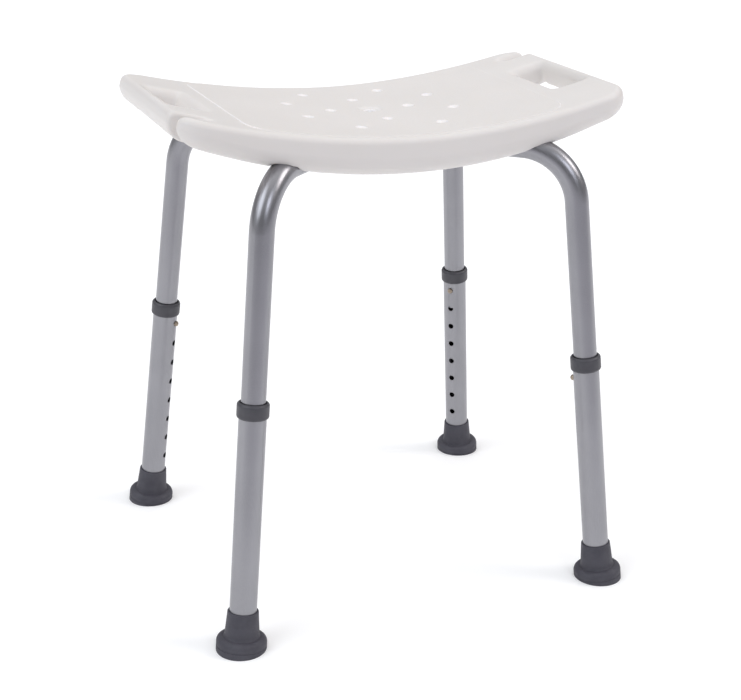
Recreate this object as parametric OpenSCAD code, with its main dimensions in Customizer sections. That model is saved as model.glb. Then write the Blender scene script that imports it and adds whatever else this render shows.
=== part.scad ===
// Height-adjustable shower stool: a blow-moulded seat on two crossing U-shaped tubes,
// with four telescoping legs, each held by a spring button in a row of holes.
// Millimetres, +Z up, origin on the floor under the middle of the seat,
// +X along the seat, -Y is the front.

/* [Seat] */
// Overall length of the seat along X
seat_length = 499; // [420:1:540]
// Depth of the seat along Y at mid length
seat_depth = 287; // [240:1:320]
// How much narrower each long side gets towards the ends
seat_side_bow = 9.5; // [4:0.5:14]
// Height of the top surface at the middle above the floor
seat_height = 516; // [500:1:530]
// Rise of the top surface from the middle to the ends
top_rise = 34.5; // [20:0.5:45]
// Thickness of the seat at the middle
seat_thickness = 40.5; // [38:0.5:44]
// Rise of the underside from the middle to the ends
underside_rise = 48; // [34:0.5:54]
// Corner radius of the seat in plan
seat_corner = 32; // [20:1:45]
// Radius of the upper long edges
top_edge = 9; // [4:0.5:12]
// Radius of the lower long edges
lower_edge = 20; // [10:0.5:22]
// Radius of the upper edges at the two ends
end_top_edge = 7; // [4:0.5:9]
// Radius of the lower edges at the two ends
end_lower_edge = 16; // [6:0.5:17]
// Wall of the hollow seat
seat_wall = 3; // [2:0.1:4]

/* [Seat panel] */
// Length of the slightly sunk middle panel
panel_length = 360; // [300:1:380]
// Depth of the sunk middle panel
panel_width = 240; // [200:1:250]
// Corner radius of the sunk middle panel
panel_corner = 26; // [10:1:40]
// How far the middle panel is sunk
panel_sink = 0.8; // [0.4:0.1:1.5]

/* [Hand slots] */
// Distance from the middle of the seat to the middle of a hand slot
slot_offset = 216; // [205:0.5:222]
// Length of a hand slot along Y
slot_length = 100; // [80:1:110]
// Width of a hand slot along X
slot_width = 34; // [26:0.5:36]
// Corner radius of a hand slot
slot_corner = 11; // [6:0.5:15]
// Wall round a hand slot
slot_wall = 4; // [3:0.1:6]

/* [Hose notches] */
// Distance of a hose notch from the middle of the seat along Y
notch_offset = 106; // [95:0.5:110]
// Width of a hose notch
notch_width = 12; // [9:0.5:15]
// Distance from the middle of the seat to the closed end of a notch
notch_reach = 217; // [208:0.5:225]
// Wall round a hose notch
notch_wall = 3.5; // [3:0.1:5]

/* [Drain holes] */
// Diameter of a drain hole
drain_diameter = 6; // [4:0.5:8]
// Diameter of the dished mouth of a drain hole
drain_mouth = 12; // [8:0.5:14]
// Depth of the dished mouth
drain_dish = 2; // [1:0.1:2.5]
// Wall round a drain hole
drain_wall = 2.6; // [2:0.1:4]
// Spacing of the drain holes along X
drain_pitch_x = 45; // [35:0.5:50]
// Distance of the outer pair from the middle along X
drain_far_x = 83; // [70:0.5:90]
// Distance of the outer pair rows along Y
drain_far_y = 35; // [25:0.5:40]
// Distance of the middle pair along Y
drain_mid_y = 51; // [40:0.5:56]
// Distance of the outermost rows along Y
drain_row_y = 88; // [75:0.5:92]
// Diameter of the breather hole in the underside
breather = 5; // [4:0.5:8]

/* [Frame tubes] */
// Outside diameter of the upper tubes
upper_diameter = 25.4; // [24:0.1:26]
// Wall of the upper tubes
upper_wall = 1.25; // [1:0.05:1.6]
// Distance along the leg from the floor to the lower end of the upper tube
upper_start = 217; // [200:1:225]
// Distance along the leg from the floor to the start of the bend
bend_start = 440; // [438:0.5:446]
// Radius of the bend at the tube middle line
bend_radius = 62; // [55:0.5:70]
// Clearance between tube and seat channel
channel_gap = 0.4; // [0.2:0.1:1]
// Length of the pressed half-lap where the two tubes cross
lap_length = 30; // [28:0.5:40]

/* [Leg stance] */
// Distance of a foot from the middle, measured along the diagonal
foot_reach = 284.5; // [260:0.5:300]
// Direction of the diagonal seen from above, from the X axis
diagonal = 41.2; // [38:0.1:45]
// Lean of the legs
splay = 6.8; // [4:0.1:9]

/* [Lower leg tubes] */
// Outside diameter of the lower tubes
lower_diameter = 28.6; // [28:0.1:30]
// Wall of the lower tubes
lower_wall = 1.35; // [1.2:0.05:1.4]
// Distance along the leg from the floor to the lower end of the lower tube
lower_start = 10; // [8:0.5:12]
// Distance along the leg from the floor to the upper end of the lower tube
lower_end = 262; // [258:0.5:263]
// Diameter of the adjustment holes
hole_diameter = 7; // [6.8:0.1:8]
// Spacing of the adjustment holes
hole_pitch = 25.4; // [20:0.1:25.4]
// Number of adjustment holes
hole_count = 8; // [6:1:8]
// Distance along the leg from the floor to the top hole
top_hole = 241.9; // [240:0.1:244]

/* [Collars] */
// Distance along the leg from the floor to the lower face of a collar
collar_start = 251.6; // [250:0.1:254]
// Height of a collar
collar_height = 17; // [14:0.5:17]
// Outside diameter of a collar
collar_diameter = 33.4; // [32:0.1:36]
// Clearance between collar lip and upper tube
collar_gap = 0.45; // [0.35:0.05:0.6]

/* [Feet] */
// Height of a foot along the leg
foot_height = 42.5; // [38:0.5:48]
// Diameter of a foot at its rim
foot_rim = 32.8; // [31:0.1:35]
// Diameter of a foot just above the flange
foot_waist = 36.6; // [34:0.1:40]
// Diameter of the foot flange
foot_flange = 53.4; // [46:0.1:58]
// Height of the foot flange
flange_height = 14; // [10:0.5:17]
// Thickness of the steel disc inside a foot
disc_thickness = 2; // [1.5:0.1:2.5]

/* [Snap buttons] */
// Diameter of a button pin
button_diameter = 6.4; // [5.8:0.1:6.5]
// How far a button stands out of the lower tube
button_proud = 3.6; // [2.5:0.1:4.5]
// Width of the leaf spring
leaf_width = 8; // [6:0.5:9]
// Thickness of the leaf spring
leaf_thickness = 0.5; // [0.3:0.05:0.7]

/* [Fasteners] */
// Distance of the seat screws from the middle along the diagonal
screw_reach = 112; // [105:1:120]
// Thread diameter of screws and bolt
screw_diameter = 6; // [5:0.5:6]
// Diameter of a seat screw head
head_diameter = 11; // [10:0.5:12]
// Height of a seat screw head
head_height = 3.2; // [2.5:0.1:3.6]
// Length of the brass inserts
insert_length = 9; // [7:0.5:10]
// Diameter of the brass inserts
insert_diameter = 9; // [8:0.5:9.5]
// Diameter of the centre bolt head
bolt_head = 12; // [11:0.5:13]

/* [Hidden] */
$fn = 96;
eps = 0.01;
upper_r = upper_diameter/2;
upper_bore = upper_r - upper_wall;
lower_r = lower_diameter/2;
lower_bore = lower_r - lower_wall;
half_l = seat_length/2;
half_d = seat_depth/2;
top_radius = (half_l*half_l + top_rise*top_rise)/(2*top_rise);
under_radius = (half_l*half_l + underside_rise*underside_rise)/(2*underside_rise);
top_axis = seat_height + top_radius;
under_axis = seat_height - seat_thickness + under_radius;
bow_radius = (half_l*half_l + seat_side_bow*seat_side_bow)/(2*seat_side_bow);
bend_angle = 90 - splay;
// bend end and run geometry in the diagonal plane: distance from the middle and height
start_r = foot_reach - bend_start*sin(splay);
start_z = bend_start*cos(splay);
turn_r = start_r - bend_radius*cos(splay);
turn_z = start_z - bend_radius*sin(splay);
run_r = turn_r;
mid_z = turn_z + bend_radius;
travel = (hole_count - 1)*hole_pitch;
leg_names = ["front_left", "front_right", "back_left", "back_right"];
azimuth = [180 + diagonal, -diagonal, 180 - diagonal, diagonal];

// ---- placing -------------------------------------------------------------
// leg frame: origin where the leg axis meets the floor, +Z up the leg, -X towards the middle
module leg_frame(k) {
  rotate([0, 0, azimuth[k]]) translate([foot_reach, 0, 0]) rotate([0, -splay, 0]) children();
}
// run frame: on the tube middle line under the seat at a distance r from the middle, +X outwards
module run_frame(k, r) { rotate([0, 0, azimuth[k]]) translate([r, 0, mid_z]) children(); }
// straight run under the seat from bend to bend, with r the radius and extra added at both ends
module run_bar(k, r, extra = 0) {
  run_frame(k, 0) rotate([0, 90, 0]) cylinder(r = r, h = 2*run_r + 2*extra, center = true);
}
module cut_below(z) { translate([-600, -600, z - 200]) cube([1200, 1200, 200]); }

// ---- seat ----------------------------------------------------------------
// outline of the seat in plan, drawn in by d
module plan(d = 0) {
  a = half_l - d;
  rc = seat_corner - d;
  rb = bow_radius - d;
  cx = a - rc;
  cy = -(bow_radius - half_d) + sqrt((rb - rc)*(rb - rc) - cx*cx);
  xt = cx*rb/(rb - rc);
  intersection() {
    translate([0, -(bow_radius - half_d)]) circle(r = rb, $fn = 720);
    translate([0, bow_radius - half_d]) circle(r = rb, $fn = 720);
    square([2*xt, 2*half_d], center = true);
  }
  square([2*a, 2*cy], center = true);
  for (sx = [-1, 1], sy = [-1, 1]) translate([sx*cx, sy*cy]) circle(r = rc);
}
// a strip swept round a lying axis at height zc, from radius r1 to r2
module sweep(zc, reach) {
  translate([0, 0, zc]) rotate([90, 0, 0]) rotate([0, 0, -90 - reach])
    rotate_extrude(angle = 2*reach, $fn = 720) children();
}
module top_strip(d = 0, r = 0) {
  w = half_d + 0.8 - d;
  rt = top_radius + d;
  sweep(top_axis, 18) {
    translate([rt + r, -w]) square([90, 2*w]);
    translate([rt, -w + r]) square([r + 1, 2*w - 2*r]);
    if (r > 0) for (s = [-1, 1]) translate([rt + r, s*(w - r)]) circle(r = r);
  }
}
module under_strip(d = 0, r = 0) {
  w = half_d + 0.8 - d;
  ru = under_radius - d;
  sweep(under_axis, 26) {
    translate([ru - 110, -w]) square([110 - r, 2*w]);
    translate([ru - r - 1, -w + r]) square([r + 1, 2*w - 2*r]);
    if (r > 0) for (s = [-1, 1]) translate([ru - r, s*(w - r)]) circle(r = r);
  }
}
// waste outside a rounded edge: corner c, directions a1 and a2 of the two sides, radius r
module corner_waste(c, a1, a2, r) {
  u1 = [cos(a1), sin(a1)];
  u2 = [cos(a2), sin(a2)];
  h = (u1 + u2)/norm(u1 + u2);
  half = acos(u1*u2)/2;
  t1 = c + u1*r/tan(half);
  t2 = c + u2*r/tan(half);
  m = c + h*(r/sin(half) - 0.4);
  difference() {
    polygon([m, t1, t1 - u2*3, c - h*8, t2 - u1*3, t2]);
    translate(m) circle(r = r);
  }
}
function top_at(x) = top_axis - sqrt(top_radius*top_radius - x*x);
function under_at(x) = under_axis - sqrt(under_radius*under_radius - x*x);
// end edges are rounded over the full depth of the seat
module end_rounding() {
  for (s = [0, 180]) rotate([0, 0, s]) rotate([90, 0, 0]) translate([0, 0, -300]) linear_extrude(600) {
    corner_waste([half_l, top_at(half_l)], 180 + asin(half_l/top_radius), -90, end_top_edge);
    corner_waste([half_l, under_at(half_l)], 180 + asin(half_l/under_radius), 90, end_lower_edge);
  }
}
module round_slot(l, w, r) {
  square([w, l - 2*r], center = true);
  square([w - 2*r, l], center = true);
  for (sx = [-1, 1], sy = [-1, 1]) translate([sx*(w/2 - r), sy*(l/2 - r)]) circle(r = r);
}
module hand_slots(g = 0) {
  for (s = [-1, 1]) translate([s*slot_offset, 0, 440]) linear_extrude(140)
    round_slot(slot_length + 2*g, slot_width + 2*g, slot_corner + g);
}
module hose_notches(g = 0) {
  for (s = [0, 180]) rotate([0, 0, s]) translate([0, notch_offset, 440]) linear_extrude(140) {
    translate([notch_reach + notch_width/2, 0]) circle(d = notch_width + 2*g);
    translate([notch_reach + notch_width/2, -notch_width/2 - g]) square([60, notch_width + 2*g]);
  }
}
// channels for the tubes, grown to radius r: a round run, two short lengths that follow
// the bend, and an open slot down to the underside
module channels(r) {
  for (k = [1, 3]) {
    run_bar(k, r, 2);
    run_frame(k, 0) translate([-run_r, -r - 0.6, 440 - mid_z]) cube([2*run_r, 2*r + 1.2, mid_z - 440]);
  }
  for (k = [0:3], t = [9, 27]) rotate([0, 0, azimuth[k]])
    translate([turn_r + bend_radius*sin(t), 0, turn_z + bend_radius*cos(t)])
      rotate([0, 90 + t, 0]) translate([0, 0, -14]) cylinder(r = r + 0.9, h = t == 9 ? 24 : 60);
}
drain_points = concat([for (s = [-1, 1]) [s*drain_pitch_x, 0]], [for (s = [-1, 1]) [0, s*drain_mid_y]],
  [for (sx = [-1, 1], sy = [-1, 1]) [sx*drain_far_x, sy*drain_far_y]],
  [for (sx = [-1, 1], sy = [-1, 1]) [sx*drain_pitch_x, sy*drain_row_y]]);
module drain_posts(d) { for (p = drain_points) translate([p[0], p[1], 440]) cylinder(d = d, h = 140); }
module drain_dishes() {
  for (p = drain_points) translate([p[0], p[1], top_at(p[0]) - panel_sink - drain_dish - 0.6])
    cylinder(d1 = drain_diameter - 1.6, d2 = drain_mouth + 2.6, h = drain_dish + 1.6);
}
module sunk_panel() {
  intersection() {
    translate([0, 0, 440]) linear_extrude(140) round_slot(panel_width, panel_length, panel_corner);
    sweep(top_axis, 15) translate([top_radius - 4, -half_d]) square([4 + panel_sink, 2*half_d]);
  }
}
module seat_block() difference() {
  intersection() {
    top_strip(0, top_edge);
    under_strip(0, lower_edge);
    translate([0, 0, 400]) linear_extrude(200) plan();
  }
  end_rounding();
}
module seat_hollow() difference() {
  intersection() {
    top_strip(seat_wall + panel_sink);
    under_strip(seat_wall);
    translate([0, 0, 400]) linear_extrude(200) plan(seat_wall + 1.5);
    translate([-half_l + 13, -200, 400]) cube([seat_length - 26, 400, 200]);
  }
  hand_slots(slot_wall);
  hose_notches(notch_wall);
  channels(upper_r + channel_gap + seat_wall);
  drain_posts(drain_diameter + 2*drain_wall);
  translate([0, 0, 440]) cylinder(d = 24, h = 140);
  for (k = [0:3]) run_frame(k, screw_reach) cylinder(d = insert_diameter + 6, h = 60);
}
module seat() color("#e4e0da") difference() {
  difference() {
    difference() {
      seat_block();
      seat_hollow();
      sunk_panel();
      // breather into the hollow
      translate([0, -66, 440]) cylinder(d = breather, h = 50);
    }
    difference() {
      drain_posts(drain_diameter);
      translate([-300, -300, 400]) cube([600, 600, 30]);
    }
    hand_slots();
    hose_notches();
    channels(upper_r + channel_gap);
    // pockets for the inserts and the centre bolt
    for (k = [0:3]) run_frame(k, screw_reach) cylinder(d = insert_diameter, h = upper_r + channel_gap + insert_length + 0.3);
    translate([0, 0, mid_z]) cylinder(d = screw_diameter + 0.6, h = 60);
  }
  drain_dishes();
  translate([0, 0, bolt_seat]) cylinder(d = bolt_head + 1, h = 20);
}

// ---- frame tubes ---------------------------------------------------------
module tube_path(r, extra = 0) {
  translate([0, 0, upper_start - extra]) cylinder(r = r, h = bend_start - upper_start + extra);
  translate([-bend_radius, 0, bend_start]) rotate([90, 0, 0])
    rotate_extrude(angle = bend_angle) translate([bend_radius, 0]) circle(r = r);
}
// both legs' tubes joined by the run, with a thin band round each joint
module u_shape(k1, k2, r, extra = 0) {
  run_bar(k1, r);
  for (k = [k1, k2]) {
    leg_frame(k) tube_path(r, extra);
    run_frame(k, run_r) rotate([0, 90, 0]) cylinder(r = r + 0.12, h = 2, center = true);
  }
}
module u_tube(k1, k2, up) {
  lap = lap_length/2;
  difference() {
    difference() {
      union() u_shape(k1, k2, upper_r);
      difference() {
        union() u_shape(k1, k2, upper_bore, 1);
        // wall left standing round the pressed half-lap
        rotate([0, 0, azimuth[k1]]) translate([-lap - upper_wall, -20, up ? mid_z - 20 : mid_z + 0.05 - upper_wall])
          cube([2*lap + 2*upper_wall, 40, 20 - 0.05 + upper_wall]);
      }
      // half-lap pressed in from below or above
      rotate([0, 0, azimuth[k1]]) translate([-lap, -20, up ? mid_z - 20 : mid_z - 0.05])
        cube([2*lap, 40, 20 + (up ? 0.05 : 0)]);
    }
    // bolt and screw holes
    translate([0, 0, mid_z - 30]) cylinder(d = screw_diameter + 0.6, h = 60);
    for (k = [k1, k2]) run_frame(k, screw_reach) translate([0, 0, -30]) cylinder(d = screw_diameter + 0.6, h = 60);
    // button holes
    for (k = [k1, k2]) leg_frame(k) translate([0, 0, top_hole]) rotate([0, -90, 0])
      cylinder(d = button_diameter + 0.4, h = 30);
  }
}
module frame_tube_a() color("#a9a9b2") u_tube(0, 3, true);
module frame_tube_b() color("#a4a4ae") u_tube(1, 2, false);

// ---- fasteners -----------------------------------------------------------
bolt_seat = seat_height - panel_sink - 3.4;
nut_top = mid_z - upper_r - 1.5;
module centre_bolt() color("#c8c8cc") {
  translate([0, 0, bolt_seat]) cylinder(d = bolt_head, h = 1);
  translate([0, 0, bolt_seat + 1]) intersection() {
    cylinder(d = bolt_head, h = 3);
    translate([0, 0, -9.6]) sphere(r = sqrt(9.6*9.6 + bolt_head*bolt_head/4));
  }
  translate([0, 0, nut_top - 8]) cylinder(d = screw_diameter, h = bolt_seat - nut_top + 8 + eps);
}
module centre_washer() color("#b9b9bd") translate([0, 0, nut_top]) difference() {
  cylinder(d = 16, h = 1.5);
  translate([0, 0, -1]) cylinder(d = screw_diameter + 0.4, h = 4);
  rotate([0, 0, azimuth[1]]) translate([0, 0, mid_z - nut_top]) rotate([0, 90, 0]) cylinder(r = upper_r, h = 60, center = true);
}
module centre_nut() color("#b9b9bd") translate([0, 0, nut_top - 6]) difference() {
  union() {
    translate([0, 0, 1.5]) cylinder(d = 11.5, h = 4.45, $fn = 6);
    cylinder(d = 8.6, h = 2);
  }
  translate([0, 0, -1]) cylinder(d = screw_diameter + 0.02, h = 9);
}
module seat_screws() color("#c8c8cc") for (k = [0:3]) run_frame(k, screw_reach) {
  translate([0, 0, -upper_r - 3 - head_height]) difference() {
    intersection() {
      cylinder(d = head_diameter, h = head_height);
      translate([0, 0, 8]) sphere(r = 9.2);
    }
    translate([-0.6, -3, -1]) cube([1.2, 6, 2.4]);
    translate([-3, -0.6, -1]) cube([6, 1.2, 2.4]);
  }
  translate([0, 0, -upper_r - 3 - eps]) cylinder(d = screw_diameter, h = 2*upper_r + 3 + insert_length);
}
module saddle_washers() color("#4b4a50") for (k = [0:3]) run_frame(k, screw_reach) difference() {
  translate([0, 0, -upper_r - 3]) cylinder(d = 15, h = 6);
  translate([0, 0, -upper_r - 4]) cylinder(d = screw_diameter + 0.4, h = 12);
  rotate([0, 90, 0]) cylinder(r = upper_r + 0.02, h = 40, center = true);
}
module seat_inserts() color("#c9a45a") for (k = [0:3]) run_frame(k, screw_reach)
  translate([0, 0, upper_r + channel_gap]) difference() {
    cylinder(d = insert_diameter - 0.04, h = insert_length);
    translate([0, 0, -1]) cylinder(d = screw_diameter + 0.04, h = insert_length + 2);
    for (z = [2.6, 5.6]) translate([0, 0, z]) difference() {
      cylinder(d = insert_diameter + 1, h = 0.7);
      translate([0, 0, -1]) cylinder(d = insert_diameter - 1, h = 3);
    }
  }

// ---- lower legs ----------------------------------------------------------
module leg_tube(k) color("#aaaab1") leg_frame(k) difference() {
  translate([0, 0, lower_start]) cylinder(r = lower_r, h = lower_end - lower_start);
  translate([0, 0, lower_start - 1]) cylinder(r = lower_bore, h = lower_end - lower_start + 2);
  for (i = [0:hole_count - 1]) translate([0, 0, top_hole - i*hole_pitch]) rotate([0, -90, 0])
    cylinder(d = hole_diameter, h = 30);
}
module collar(k) color("#4a4950") leg_frame(k) translate([0, 0, collar_start])
  rotate_extrude() difference() {
    union() {
      translate([0, 3]) square([collar_diameter/2, collar_height - 6.5]);
      square([collar_diameter/2 - 3, collar_height]);
      translate([collar_diameter/2 - 3, 3]) circle(r = 3, $fn = 48);
      translate([collar_diameter/2 - 3.5, collar_height - 3.5]) circle(r = 3.5, $fn = 48);
    }
    translate([-1, -1]) square([1 + lower_r + 0.02, 1 + lower_end - collar_start]);
    translate([-1, 0]) square([1 + upper_r + collar_gap, collar_height + 1]);
    translate([upper_r + collar_gap, collar_height]) rotate(45) square(1.8, center = true);
  }
module foot(k) color("#47464c") difference() {
  leg_frame(k) rotate_extrude() difference() {
    union() {
      translate([0, -8]) square([foot_flange/2 - 6, 8 + flange_height]);
      translate([0, -8]) square([foot_flange/2, 8 + flange_height - 6]);
      translate([foot_flange/2 - 6, flange_height - 6]) circle(r = 6, $fn = 64);
      polygon([[0, flange_height - 1], [foot_waist/2 + 1.6, flange_height - 1], [foot_waist/2 + 0.4, flange_height + 1.2],
        [foot_waist/2, flange_height + 2.5], [foot_rim/2, foot_height - 1.5], [0, foot_height - 1.5]]);
      square([foot_rim/2 - 1.5, foot_height]);
      translate([foot_rim/2 - 1.5, foot_height - 1.5]) circle(r = 1.5, $fn = 32);
    }
    translate([-1, lower_start - disc_thickness]) square([1 + lower_r + 0.02, 60]);
    // fine groove near the sole
    translate([foot_flange/2 + 0.2, 4]) circle(r = 0.8, $fn = 24);
  }
  cut_below(0);
  // tread rings in the sole
  rotate([0, 0, azimuth[k]]) translate([foot_reach, 0, -1]) for (r = [9, 14, 19]) difference() {
    cylinder(r = r + 1.4, h = 2.6);
    translate([0, 0, -1]) cylinder(r = r, h = 5);
  }
}
module foot_disc(k) color("#9a9aa0") leg_frame(k) translate([0, 0, lower_start - disc_thickness]) difference() {
  cylinder(r = lower_r - 0.1, h = disc_thickness - 0.02);
  translate([0, 0, -1]) cylinder(r = 3, h = disc_thickness + 2);
}

// ---- snap buttons --------------------------------------------------------
button_back = upper_bore - 1.9;
module snap_button(k) color("#96826f") leg_frame(k) translate([0, 0, top_hole]) rotate([0, -90, 0]) {
  tip = lower_r + button_proud;
  translate([0, 0, button_back]) cylinder(d = button_diameter + 1.8, h = 0.8);
  translate([0, 0, button_back]) cylinder(d = button_diameter, h = tip - button_back - 2.4);
  translate([0, 0, tip - 2.4]) intersection() {
    cylinder(d = button_diameter, h = 2.4);
    translate([0, 0, -1.05]) sphere(r = 3.45);
  }
}
module button_spring(k) color("#8f9096") leg_frame(k) {
  near = button_back - 0.05;
  far = upper_bore - 1.2;
  rise = 46;
  mid = (far - near)/2;
  bow = (near - leaf_thickness/2 + far - leaf_thickness/2)/2;
  translate([-near, -leaf_width/2, top_hole - 6]) cube([leaf_thickness, leaf_width, rise + 6]);
  translate([far - leaf_thickness, -leaf_width/2, top_hole + 4]) cube([leaf_thickness, leaf_width, rise - 4]);
  translate([mid, leaf_width/2, top_hole + rise]) rotate([90, 0, 0]) rotate([0, 0, 0])
    linear_extrude(leaf_width) intersection() {
      difference() {
        circle(r = (near + far)/2);
        circle(r = (near + far)/2 - leaf_thickness);
      }
      translate([-30, 0]) square([60, 30]);
    }
}

// ---- output --------------------------------------------------------------
module leg_tube_front_left() leg_tube(0);
module leg_tube_front_right() leg_tube(1);
module leg_tube_back_left() leg_tube(2);
module leg_tube_back_right() leg_tube(3);
module collar_front_left() collar(0);
module collar_front_right() collar(1);
module collar_back_left() collar(2);
module collar_back_right() collar(3);
module foot_front_left() foot(0);
module foot_front_right() foot(1);
module foot_back_left() foot(2);
module foot_back_right() foot(3);
module foot_disc_front_left() foot_disc(0);
module foot_disc_front_right() foot_disc(1);
module foot_disc_back_left() foot_disc(2);
module foot_disc_back_right() foot_disc(3);
module snap_button_front_left() snap_button(0);
module snap_button_front_right() snap_button(1);
module snap_button_back_left() snap_button(2);
module snap_button_back_right() snap_button(3);
module button_spring_front_left() button_spring(0);
module button_spring_front_right() button_spring(1);
module button_spring_back_left() button_spring(2);
module button_spring_back_right() button_spring(3);

seat();
frame_tube_a();
frame_tube_b();
centre_bolt();
centre_washer();
centre_nut();
seat_screws();
saddle_washers();
seat_inserts();
leg_tube_front_left();
leg_tube_front_right();
leg_tube_back_left();
leg_tube_back_right();
collar_front_left();
collar_front_right();
collar_back_left();
collar_back_right();
foot_front_left();
foot_front_right();
foot_back_left();
foot_back_right();
foot_disc_front_left();
foot_disc_front_right();
foot_disc_back_left();
foot_disc_back_right();
snap_button_front_left();
snap_button_front_right();
snap_button_back_left();
snap_button_back_right();
button_spring_front_left();
button_spring_front_right();
button_spring_back_left();
button_spring_back_right();
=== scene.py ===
"""A shower stool's looks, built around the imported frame.

Metres, Z up, origin on the floor under the middle of the seat, -Y is the front.
The seat is a new piece. Tubes, collars, feet and fasteners are the CAD nodes
with better materials.
"""

import math

import bpy
import numpy as np
from mathutils import Matrix, Vector


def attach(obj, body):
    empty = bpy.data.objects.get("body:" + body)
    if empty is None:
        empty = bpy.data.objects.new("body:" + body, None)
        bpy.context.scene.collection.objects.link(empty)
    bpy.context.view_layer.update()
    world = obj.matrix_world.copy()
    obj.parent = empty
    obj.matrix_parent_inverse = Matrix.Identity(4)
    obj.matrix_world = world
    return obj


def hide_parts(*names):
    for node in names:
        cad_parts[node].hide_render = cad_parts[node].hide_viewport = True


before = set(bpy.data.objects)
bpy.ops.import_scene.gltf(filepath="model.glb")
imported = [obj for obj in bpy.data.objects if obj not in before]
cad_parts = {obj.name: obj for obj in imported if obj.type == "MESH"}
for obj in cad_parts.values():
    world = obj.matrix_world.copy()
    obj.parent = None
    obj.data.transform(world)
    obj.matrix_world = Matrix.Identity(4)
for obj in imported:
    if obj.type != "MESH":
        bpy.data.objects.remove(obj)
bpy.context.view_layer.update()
scene = bpy.context.scene
scene.view_settings.view_transform = "Standard"
scene.view_settings.look = "None"

MM = 0.001
# Which way each leg leans out, in degrees from +X towards +Y
LEG_AZIMUTH = {
    "front_left": 221.2,
    "front_right": -41.2,
    "back_left": 138.8,
    "back_right": 41.2,
}
LEG_LEAN = math.radians(6.8)

# ---- camera ----------------------------------------------------------------
YAW, PITCH, ROLL = math.radians(22.68), math.radians(20.81), math.radians(0.90)
LENS_MM = 71.88
CAMERA_AT = Vector((-0.6089, -1.4699, 0.8424))


def make_camera():
    forward = Vector(
        (
            math.sin(YAW) * math.cos(PITCH),
            math.cos(YAW) * math.cos(PITCH),
            -math.sin(PITCH),
        )
    )
    level = Vector((math.cos(YAW), -math.sin(YAW), 0))
    upright = level.cross(forward)
    right = math.cos(ROLL) * level + math.sin(ROLL) * upright
    up = -math.sin(ROLL) * level + math.cos(ROLL) * upright
    data = bpy.data.cameras.new("camera")
    data.sensor_width, data.sensor_fit, data.lens = 36, "HORIZONTAL", LENS_MM
    camera = bpy.data.objects.new("camera", data)
    turn = Matrix((right, up, -forward)).transposed().to_4x4()
    camera.matrix_world = Matrix.Translation(CAMERA_AT) @ turn
    scene.collection.objects.link(camera)
    scene.camera = camera


make_camera()

# ---- seat shape, in millimetres ----------------------------------------------
HALF_LENGTH, HALF_DEPTH, SIDE_BOW, CORNER, SKEW = 247.0, 143.5, 9.8, 32.0, 0.012
TOP_Z, TOP_RISE, TOP_POWER = 516.0, 34.5, 0.97
UNDER_Z, UNDER_REACH, UNDER_RISE = 475.5, 249.5, 48.0
UNDER_RADIUS = (UNDER_REACH**2 + UNDER_RISE**2) / (2 * UNDER_RISE)
LEAN_IN = 0.17
TOP_EDGE, UNDER_EDGE = 6.5, 19.0
PANEL_HALF, PANEL_RIM, PANEL_CORNER = 174.5, 10.5, 26.0
PANEL_RISE, PANEL_STEP = 1.3, 1.8
SLOT_X, SLOT_HALF_X, SLOT_HALF_Y, SLOT_CORNER = 216.0, 17.0, 50.0, 4.0
SLOT_LIP, SLOT_LIP_MORE = 6.0, 4.0
NOTCH_Y, NOTCH_HALF, NOTCH_X = 104.5, 6.0, 219.0
NOTCH_BAR_EDGE, NOTCH_BULB_MORE = 4.5, 6.5
TUBE_R, TUBE_GAP, RUN_R, TURN_Z, BEND_R = 12.7, 0.5, 170.8, 429.6, 62.0
DIAGONAL, LIP = math.radians(41.2), 9.0
DRAIN_R, DISH_R, DISH_DEPTH = 2.6, 6.3, 3.4
BALL_R = (DISH_R**2 + DISH_DEPTH**2) / (2 * DISH_DEPTH)
DRAINS = [(sx * 45, 0) for sx in (-1, 1)] + [(0, sy * 51) for sy in (-1, 1)]
DRAINS += [(sx * 83, sy * 35) for sx in (-1, 1) for sy in (-1, 1)]
DRAINS += [(sx * 45, sy * 88) for sx in (-1, 1) for sy in (-1, 1)]
BOLT_SEAT, BOLT_R, BOLT_BALL_R, BOLT_BALL_UP = 511.8, 6.6, 26.0, 22.6
BREATHER_Y, BREATHER_R, BREATHER_TOP = -66.0, 2.5, 484.0


def rmax(a, b, r):
    """The larger of two distances, with the edge between them rounded to radius r."""
    return np.minimum(np.maximum(a, b), -r) + np.hypot(
        np.maximum(a + r, 0), np.maximum(b + r, 0)
    )


def step(t):
    """Smooth change from 0 to 1 as t goes from 0 to 1."""
    t = np.clip(t, 0, 1)
    return t * t * (3 - 2 * t)


def top_line(x):
    """Height of the seat's top along its length."""
    return TOP_Z + TOP_RISE * ((x * x + 25) / HALF_LENGTH**2) ** TOP_POWER


def top_slope(x):
    q = (x * x + 25) / HALF_LENGTH**2
    return TOP_RISE * TOP_POWER * q ** (TOP_POWER - 1) * 2 * x / HALF_LENGTH**2


def under_line(x):
    return UNDER_Z + UNDER_RADIUS - np.sqrt(UNDER_RADIUS**2 - x * x)


def half_width(x):
    return HALF_DEPTH - SIDE_BOW * (x / HALF_LENGTH) ** 2


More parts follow.
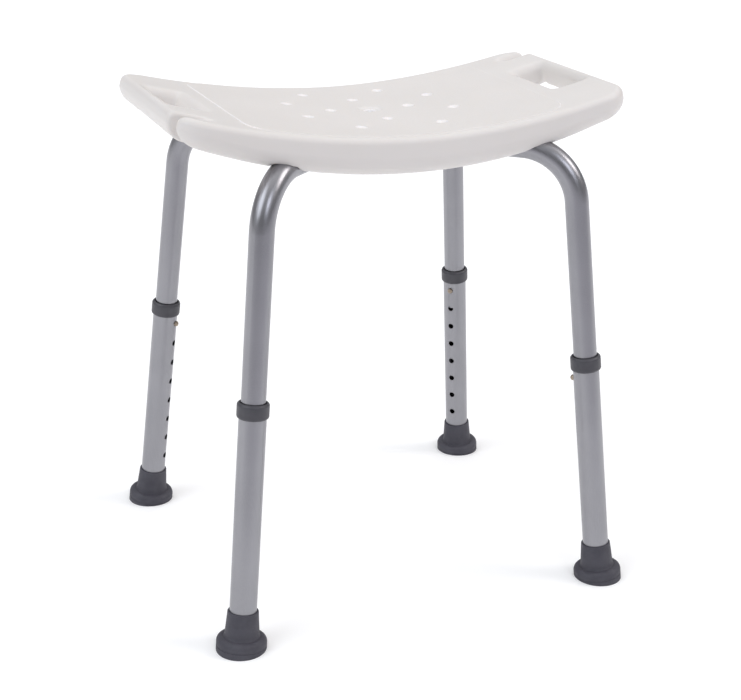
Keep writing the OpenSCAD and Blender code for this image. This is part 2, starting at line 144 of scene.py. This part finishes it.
def seat_field(x, y, z):
    """Signed distance to the seat's surface, near enough, and negative inside."""
    t, slope = top_line(x), top_slope(x)
    tilt = np.sqrt(1 + slope * slope)
    foot = x + slope * (z - t)
    ends = step((np.abs(x) - 205) / 35)
    outline = rmax(
        np.abs(foot - SKEW * y) - HALF_LENGTH, np.abs(y) - half_width(foot), CORNER
    )
    # below the parting line the sides lean in
    parting = 0.5 * (t + under_line(x)) + 0.5
    side = outline + LEAN_IN * np.maximum(0, parting - z)
    # raised middle panel with a fine step round it
    panel = rmax(
        np.abs(x - SKEW * y) - PANEL_HALF,
        np.abs(y) - half_width(x) + PANEL_RIM,
        PANEL_CORNER,
    )
    rise = PANEL_RISE * step(0.5 - panel / PANEL_STEP)
    f = rmax(side, (z - t - rise) / tilt, TOP_EDGE + 0.5 * ends)
    x_slope = x / np.sqrt(UNDER_RADIUS**2 - x * x)
    f = rmax(
        f,
        (under_line(x) - z) / np.sqrt(1 + x_slope * x_slope),
        UNDER_EDGE - 4 * ends,
    )
    high = step((z - parting) / 14 + 0.5)
    # hand slots with soft lips, softer on top and at the slots' ends
    ax = np.abs(foot)
    slot = rmax(
        np.abs(ax - SLOT_X) - SLOT_HALF_X, np.abs(y) - SLOT_HALF_Y, SLOT_CORNER
    )
    slot_end = step((np.abs(y) - 38) / 12)
    f = rmax(f, -slot, SLOT_LIP + SLOT_LIP_MORE * np.maximum(high, 0.7 * slot_end))
    # hose notches on opposite sides of the two ends, rounder on the seat's side
    sign = np.where(x > 0, 1.0, -1.0)
    ny = sign * y - NOTCH_Y
    over = np.minimum(ax - NOTCH_X, 0)
    notch = np.hypot(over, ny) - NOTCH_HALF
    f = rmax(f, -notch, NOTCH_BAR_EDGE + NOTCH_BULB_MORE * step(0.5 + ny / 8))
    # channels for the tubes, which stop inside the seat's lip
    for s in (-1, 1):
        r = np.abs(x * math.cos(DIAGONAL) + s * y * math.sin(DIAGONAL))
        off = -s * x * math.sin(DIAGONAL) + y * math.cos(DIAGONAL)
        bend = np.hypot(r - RUN_R, z - TURN_Z)
        over = np.where(r < RUN_R, z - TURN_Z, bend) - BEND_R
        channel = np.hypot(np.maximum(over, 0), off) - TUBE_R - TUBE_GAP
        f = rmax(f, -np.maximum(channel, outline + LIP), 1.6)
    for dx, dy in DRAINS:
        r = np.hypot(x - dx, y - dy)
        near = r < 16
        if near.any():
            up = z[near] - (top_line(dx) + PANEL_RISE - DISH_DEPTH + BALL_R)
            g = rmax(f[near], BALL_R - np.hypot(r[near], up), 0.7)
            f[near] = rmax(g, DRAIN_R - r[near], 0.7)
    # recess for the middle bolt with a dished mouth, and a breather below
    r = np.hypot(x, y)
    up = z - TOP_Z - PANEL_RISE - BOLT_BALL_UP
    f = rmax(f, BOLT_BALL_R - np.sqrt(r * r + up**2), 1.0)
    f = rmax(f, np.minimum(BOLT_R - r, z - BOLT_SEAT), 0.6)
    r = np.hypot(x, y - BREATHER_Y)
    return rmax(f, np.minimum(BREATHER_R - r, BREATHER_TOP - z), 0.6)


def spaced(limit, rules):
    """Grid lines from -limit to limit, by rules (from, to, spacing), else 2.6 apart."""
    at, out = 0.0, [0.0]
    while at < limit:
        gap = min([s for lo, hi, s in rules if lo <= at < hi], default=2.6)
        at += gap
        out.append(at)
    return np.array([-v for v in out[:0:-1]] + out)


def surface_nets(field, px, py, pz):
    """Quads round a grid's zero level, with a vertex for each cell that it crosses."""
    inside = field < 0
    cells = tuple(n - 1 for n in field.shape)
    total, count = np.zeros(cells + (3,)), np.zeros(cells)
    quads = []
    for axis in range(3):
        lo = [slice(None)] * 3
        hi = [slice(None)] * 3
        lo[axis], hi[axis] = slice(None, -1), slice(1, None)
        lo, hi = tuple(lo), tuple(hi)
        cross = inside[lo] != inside[hi]
        i = np.argwhere(cross)
        a, b = field[lo][cross], field[hi][cross]
        t = a / (a - b)
        point = np.stack(
            [p[lo][cross] * (1 - t) + p[hi][cross] * t for p in (px, py, pz)], 1
        )
        u, v = [k for k in range(3) if k != axis]
        around = []
        for du, dv in ((-1, -1), (0, -1), (0, 0), (-1, 0)):
            c = i.copy()
            c[:, u] += du
            c[:, v] += dv
            ok = np.all((c >= 0) & (c < np.array(cells)), axis=1)
            idx = tuple(c[ok].T)
            np.add.at(total, idx, point[ok])
            np.add.at(count, idx, 1)
            around.append(c)
        q = np.stack(around, 1)
        flip = (a < 0) != (axis == 1)
        q[flip] = q[flip][:, ::-1]
        quads.append(q)
    used = count > 0
    number = np.full(cells, -1)
    number[used] = np.arange(used.sum())
    q = np.concatenate(quads)
    faces = number[q[..., 0], q[..., 1], q[..., 2]]
    return total[used] / count[used][:, None], faces


def gradient(p, h=0.15):
    """Slope of the seat's field at the points, by differences of h."""
    g = np.empty_like(p)
    for k in range(3):
        d = np.zeros(3)
        d[k] = h
        g[:, k] = (seat_field(*(p + d).T) - seat_field(*(p - d).T)) / (2 * h)
    return g


def make_seat():
    # finer grid lines over the drain holes and the panel's step
    gx = spaced(258, [(0, 98, 1.7), (171, 179, 0.8)])
    gy = spaced(148, [(0, 96, 1.8), (124, 136, 1.3)])
    gt = np.linspace(0, 1, 29)
    px, py, pt = np.meshgrid(gx, gy, gt, indexing="ij")
    t, b = top_line(px), under_line(np.clip(px, -257, 257))
    pz = t + 3.5 - pt * (t - b + 7.5)
    points, faces = surface_nets(seat_field(px, py, pz), px, py, pz)
    # pull the vertices onto the surface
    for _ in range(4):
        g = gradient(points)
        f = seat_field(*points.T)
        move = (f / np.maximum((g * g).sum(1), 0.25))[:, None] * g
        length = np.linalg.norm(move, axis=1, keepdims=True)
        points = points - move * np.minimum(1, 1.0 / np.maximum(length, 1e-9))
    mesh = bpy.data.meshes.new("moulded_seat")
    mesh.vertices.add(len(points))
    mesh.vertices.foreach_set("co", (points * MM).ravel())
    mesh.loops.add(faces.size)
    mesh.loops.foreach_set("vertex_index", faces.ravel())
    mesh.polygons.add(len(faces))
    mesh.polygons.foreach_set("loop_start", np.arange(len(faces)) * 4)
    mesh.update(calc_edges=True)
    mesh.validate()
    mesh.polygons.foreach_set("use_smooth", np.ones(len(mesh.polygons), bool))
    g = gradient(points, 0.3)
    n = g / np.maximum(np.linalg.norm(g, axis=1, keepdims=True), 1e-9)
    mesh.normals_split_custom_set_from_vertices(n)
    seat = bpy.data.objects.new("moulded_seat", mesh)
    scene.collection.objects.link(seat)
    return seat


# ---- materials ---------------------------------------------------------------
class Nodes:
    """A new material with short calls for its nodes."""

    def __init__(self, name, **constants):
        self.material = bpy.data.materials.new(name)
        self.material.use_nodes = True
        self.tree = self.material.node_tree
        self.shader = self.tree.nodes["Principled BSDF"]
        for socket, value in constants.items():
            self.shader.inputs[socket.replace("_", " ")].default_value = value
        self.place = self.add("TexCoord").outputs["Object"]

    def add(self, kind, **values):
        node = self.tree.nodes.new("ShaderNode" + kind)
        for key, value in values.items():
            setattr(node, key, value)
        return node

    def put(self, value, socket):
        if isinstance(value, bpy.types.NodeSocket):
            self.tree.links.new(value, socket)
        else:
            socket.default_value = value

    def noise(self, scale, detail=2.0, stretch=None, turn=None):
        where = self.place
        if stretch:
            if turn:
                rotate = self.add("Mapping")
                self.put(where, rotate.inputs["Vector"])
                rotate.inputs["Rotation"].default_value = turn
                where = rotate.outputs["Vector"]
            mapping = self.add("Mapping")
            self.put(where, mapping.inputs["Vector"])
            mapping.inputs["Scale"].default_value = stretch
            where = mapping.outputs["Vector"]
        node = self.add("TexNoise")
        self.put(where, node.inputs["Vector"])
        node.inputs["Scale"].default_value = scale
        node.inputs["Detail"].default_value = detail
        return node.outputs["Fac"]

    def math(self, operation, a, b=0.0, c=0.0):
        node = self.add("Math", operation=operation)
        for value, socket in zip((a, b, c), node.inputs):
            self.put(value, socket)
        return node.outputs[0]

    def between(self, factor, low, high, start=0.0, end=1.0):
        node = self.add("MapRange", interpolation_type="SMOOTHSTEP")
        for name, value in (
            ("Value", factor),
            ("From Min", start),
            ("From Max", end),
            ("To Min", low),
            ("To Max", high),
        ):
            self.put(value, node.inputs[name])
        return node.outputs["Result"]

    def mix(self, factor, a, b):
        node = self.add("Mix", data_type="RGBA")
        self.put(factor, node.inputs["Factor"])
        for value, name in ((a, "A"), (b, "B")):
            socket = next(
                s for s in node.inputs if s.name == name and s.type == "RGBA"
            )
            self.put((*value, 1) if isinstance(value, tuple) else value, socket)
        return next(s for s in node.outputs if s.type == "RGBA")

    def bump(self, height, distance, strength=1.0, under=None):
        node = self.add("Bump")
        self.put(height, node.inputs["Height"])
        node.inputs["Distance"].default_value = distance
        node.inputs["Strength"].default_value = strength
        if under is not None:
            self.put(under, node.inputs["Normal"])
        return node.outputs["Normal"]

    def finish(self, color=None, roughness=None, normal=None):
        for value, name in (
            (color, "Base Color"),
            (roughness, "Roughness"),
            (normal, "Normal"),
        ):
            if value is not None:
                self.put(value, self.shader.inputs[name])
        return self.material


def seat_material():
    m = Nodes("seat_plastic", Specular_IOR_Level=0.42, Subsurface_Weight=0.12)
    m.shader.inputs["Subsurface Radius"].default_value = (0.9, 0.75, 0.6)
    m.shader.inputs["Subsurface Scale"].default_value = 0.004
    place = m.add("SeparateXYZ")
    m.put(m.place, place.inputs[0])
    facing = m.add("SeparateXYZ")
    m.put(m.add("NewGeometry").outputs["Normal"], facing.inputs[0])
    up = facing.outputs["Z"]

    def inside(x_from, x_to, y_from, y_to):
        along = m.between(m.math("ABSOLUTE", place.outputs["X"]), 1.0, 0.0, x_from, x_to)
        across = m.between(m.math("ABSOLUTE", place.outputs["Y"]), 1.0, 0.0, y_from, y_to)
        return m.math("MULTIPLY", along, across)

    # the textured panel: on top, inside the rim
    flat = m.between(up, 0.0, 1.0, 0.85, 0.95)
    panel = m.math("MULTIPLY", inside(0.170, 0.177, 0.126, 0.133), flat)
    grain = m.noise(620, 3.0)
    fine = m.noise(2300, 2.0)
    cloud = m.noise(9, 3.0)
    color = m.mix(
        m.between(cloud, 0.0, 1.0, 0.3, 0.7),
        (0.725, 0.693, 0.668),
        (0.745, 0.713, 0.689),
    )
    # painted highlight: the walls of the drain dishes and of the panel's step are painted
    # paler than the rest, standing in for the light they catch; these walls are smooth
    tilted = m.math(
        "MULTIPLY",
        m.between(up, 0.0, 1.0, 0.10, 0.35),
        m.between(up, 1.0, 0.0, 0.86, 0.955),
    )
    painted_highlight_walls = m.math("MULTIPLY", inside(0.177, 0.182, 0.118, 0.127), tilted)
    color = m.mix(painted_highlight_walls, color, (0.86, 0.83, 0.82))
    color = m.mix(
        m.math("MULTIPLY", m.between(grain, 0.0, 0.35, 0.35, 0.65), panel),
        color,
        (0.690, 0.654, 0.628),
    )
    rough = m.math("ADD", m.between(fine, 0.40, 0.50), m.math("MULTIPLY", panel, 0.10))
    height = m.math("MULTIPLY", grain, m.math("ADD", m.math("MULTIPLY", panel, 0.8), 0.2))
    normal = m.bump(fine, 0.00004, 0.5, m.bump(height, 0.00022, 0.55))
    return m.finish(color, rough, normal)


def tube_material(name, azimuth=None):
    """Satin anodised aluminium. With an azimuth, fine drawing lines run along that leg."""
    m = Nodes(name, Metallic=1.0)
    grain = m.noise(2600, 2.0)
    cloud = m.noise(14, 3.0)
    if azimuth is None:
        lines = m.noise(900, 2.0)
        depth = 0.000006
    else:
        lines = m.noise(
            1.0,
            3.0,
            stretch=(1500, 1500, 9),
            turn=(0, LEG_LEAN, -math.radians(azimuth)),
        )
        depth = 0.000012
    color = m.mix(
        m.between(cloud, 0.0, 1.0, 0.3, 0.7),
        (0.300, 0.298, 0.318),
        (0.326, 0.324, 0.346),
    )
    color = m.mix(m.between(lines, 0.0, 0.4, 0.35, 0.7), color, (0.352, 0.350, 0.372))
    rough = m.math(
        "ADD", m.between(lines, 0.27, 0.34, 0.3, 0.7), m.between(grain, 0.0, 0.05)
    )
    normal = m.bump(grain, 0.000008, 0.5, m.bump(lines, depth, 0.6))
    return m.finish(color, rough, normal)


def plain_material(
    name, dark, light, low, high, metallic=0.0, grain=1500, depth=0.00003, **more
):
    """Moulded or turned material: two close colours in soft clouds, and a fine grain."""
    m = Nodes(name, Metallic=metallic, **more)
    cloud = m.noise(60, 3.0)
    fine = m.noise(grain, 3.0)
    color = m.mix(m.between(cloud, 0.0, 1.0, 0.3, 0.7), dark, light)
    color = m.mix(m.between(fine, 0.0, 0.5, 0.55, 0.75), color, light)
    rough = m.between(fine, low, high, 0.3, 0.7)
    return m.finish(color, rough, m.bump(fine, depth, 0.6))


def paint(node_name, material):
    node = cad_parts[node_name]
    node.data.materials.clear()
    node.data.materials.append(material)


seat = make_seat()
seat.data.materials.append(seat_material())
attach(seat, "frame")
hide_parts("seat")

upper = tube_material("anodised_upper")
for name in ("frame_tube_a", "frame_tube_b"):
    paint(name, upper)

rubber = plain_material(
    "grey_rubber",
    (0.049, 0.047, 0.061),
    (0.064, 0.062, 0.077),
    0.50,
    0.68,
    grain=900,
    depth=0.00010,
    Specular_IOR_Level=0.4,
)
collar = plain_material(
    "grey_collar",
    (0.048, 0.047, 0.057),
    (0.062, 0.060, 0.070),
    0.38,
    0.52,
    grain=1300,
    depth=0.00005,
)
saddle = plain_material(
    "saddle_plastic", (0.050, 0.050, 0.054), (0.066, 0.066, 0.070), 0.42, 0.56
)


def metal(name, dark, light, low, high, metallic=1.0):
    return plain_material(name, dark, light, low, high, metallic, depth=0.00001)


steel = metal("steel", (0.60, 0.61, 0.64), (0.74, 0.75, 0.78), 0.22, 0.36)
spring = metal("spring_steel", (0.30, 0.30, 0.31), (0.40, 0.40, 0.41), 0.28, 0.42)
button = metal("button_steel", (0.34, 0.28, 0.22), (0.44, 0.37, 0.30), 0.30, 0.42)
brass = metal("brass", (0.55, 0.40, 0.16), (0.68, 0.51, 0.24), 0.28, 0.40)
# the middle bolt's head is pale and bluish, partly a plated cap's colour and partly a
# painted glint: a low metallic value and a pale bluish colour stand in for its bright
# highlight
bolt = metal("bolt_head", (0.80, 0.88, 1.0), (0.88, 0.94, 1.0), 0.25, 0.35, 0.2)

for leg, azimuth in LEG_AZIMUTH.items():
    paint("leg_tube_" + leg, tube_material("anodised_" + leg, azimuth))
    paint("collar_" + leg, collar)
    paint("foot_" + leg, rubber)
    paint("foot_disc_" + leg, steel)
    paint("snap_button_" + leg, button)
    paint("button_spring_" + leg, spring)
for name in ("centre_washer", "centre_nut", "seat_screws"):
    paint(name, steel)
paint("centre_bolt", bolt)
paint("saddle_washers", saddle)
paint("seat_inserts", brass)


# ---- floor and light ---------------------------------------------------------
FLOOR_R, FLOOR_SIDES = 30.0, 48


def make_floor():
    mesh = bpy.data.meshes.new("floor")
    angles = [k * math.tau / FLOOR_SIDES for k in range(FLOOR_SIDES)]
    ring = [(FLOOR_R * math.cos(a), FLOOR_R * math.sin(a), 0) for a in angles]
    mesh.from_pydata(ring, [], [tuple(range(FLOOR_SIDES))])
    floor = bpy.data.objects.new("floor", mesh)
    scene.collection.objects.link(floor)
    m = Nodes("floor", Specular_IOR_Level=0.2, Emission_Strength=0.12)
    m.shader.inputs["Emission Color"].default_value = (1, 1, 1, 1)
    tone = m.mix(m.noise(3, 2.0), (0.93, 0.93, 0.93), (0.95, 0.95, 0.95))
    # painted shade: the floor in front of the stool, out of the picture, is painted
    # darker, standing in for the light falling off there, so the tubes reflect a darker
    # floor
    place = m.add("SeparateXYZ")
    m.put(m.place, place.inputs[0])
    near = m.between(place.outputs["Y"], 1.0, 0.0, -1.10, -0.45)
    tone = m.mix(near, tone, (0.62, 0.61, 0.65))
    mesh.materials.append(m.finish(tone, 0.8))


def soft_sun(name, azimuth, elevation, spread, power, color):
    """A far, wide light. Azimuth is measured from +X towards +Y."""
    data = bpy.data.lights.new(name, "SUN")
    data.angle, data.energy, data.color = math.radians(spread), power, color
    lamp = bpy.data.objects.new(name, data)
    a, e = math.radians(azimuth), math.radians(elevation)
    aim = Vector((math.cos(a) * math.cos(e), math.sin(a) * math.cos(e), math.sin(e)))
    lamp.rotation_mode = "QUATERNION"
    lamp.rotation_quaternion = aim.to_track_quat("Z", "Y")
    scene.collection.objects.link(lamp)


def make_world():
    """A pale room, brighter overhead and darker in front, behind the camera."""
    world = bpy.data.worlds.new("studio")
    scene.world = world
    world.use_nodes = True
    tree = world.node_tree
    where = tree.nodes.new("ShaderNodeTexCoord")
    split = tree.nodes.new("ShaderNodeSeparateXYZ")
    tree.links.new(where.outputs["Generated"], split.inputs[0])
    both = tree.nodes.new("ShaderNodeMath")
    both.operation = "MULTIPLY"
    for axis, socket, start, end, low, high in (
        ("Z", both.inputs[0], 0.1, 0.75, 0.34, 0.76),
        ("Y", both.inputs[1], -0.9, 0.1, 0.58, 1.0),
    ):
        ramp = tree.nodes.new("ShaderNodeMapRange")
        ramp.interpolation_type = "SMOOTHSTEP"
        tree.links.new(split.outputs[axis], ramp.inputs["Value"])
        for name, value in (
            ("From Min", start),
            ("From Max", end),
            ("To Min", low),
            ("To Max", high),
        ):
            ramp.inputs[name].default_value = value
        tree.links.new(ramp.outputs["Result"], socket)
    back = tree.nodes["Background"]
    back.inputs["Color"].default_value = (0.97, 0.98, 1.0, 1)
    tree.links.new(both.outputs[0], back.inputs["Strength"])


make_floor()
make_world()
soft_sun("left", 192, 40, 44, 1.00, (0.90, 0.945, 1.0))
soft_sun("front", 280, 32, 24, 0.46, (0.88, 0.91, 1.0))
soft_sun("right", -24, 38, 24, 0.76, (1.0, 0.95, 0.92))
soft_sun("overhead", 60, 78, 80, 0.40, (1.0, 0.97, 0.95))
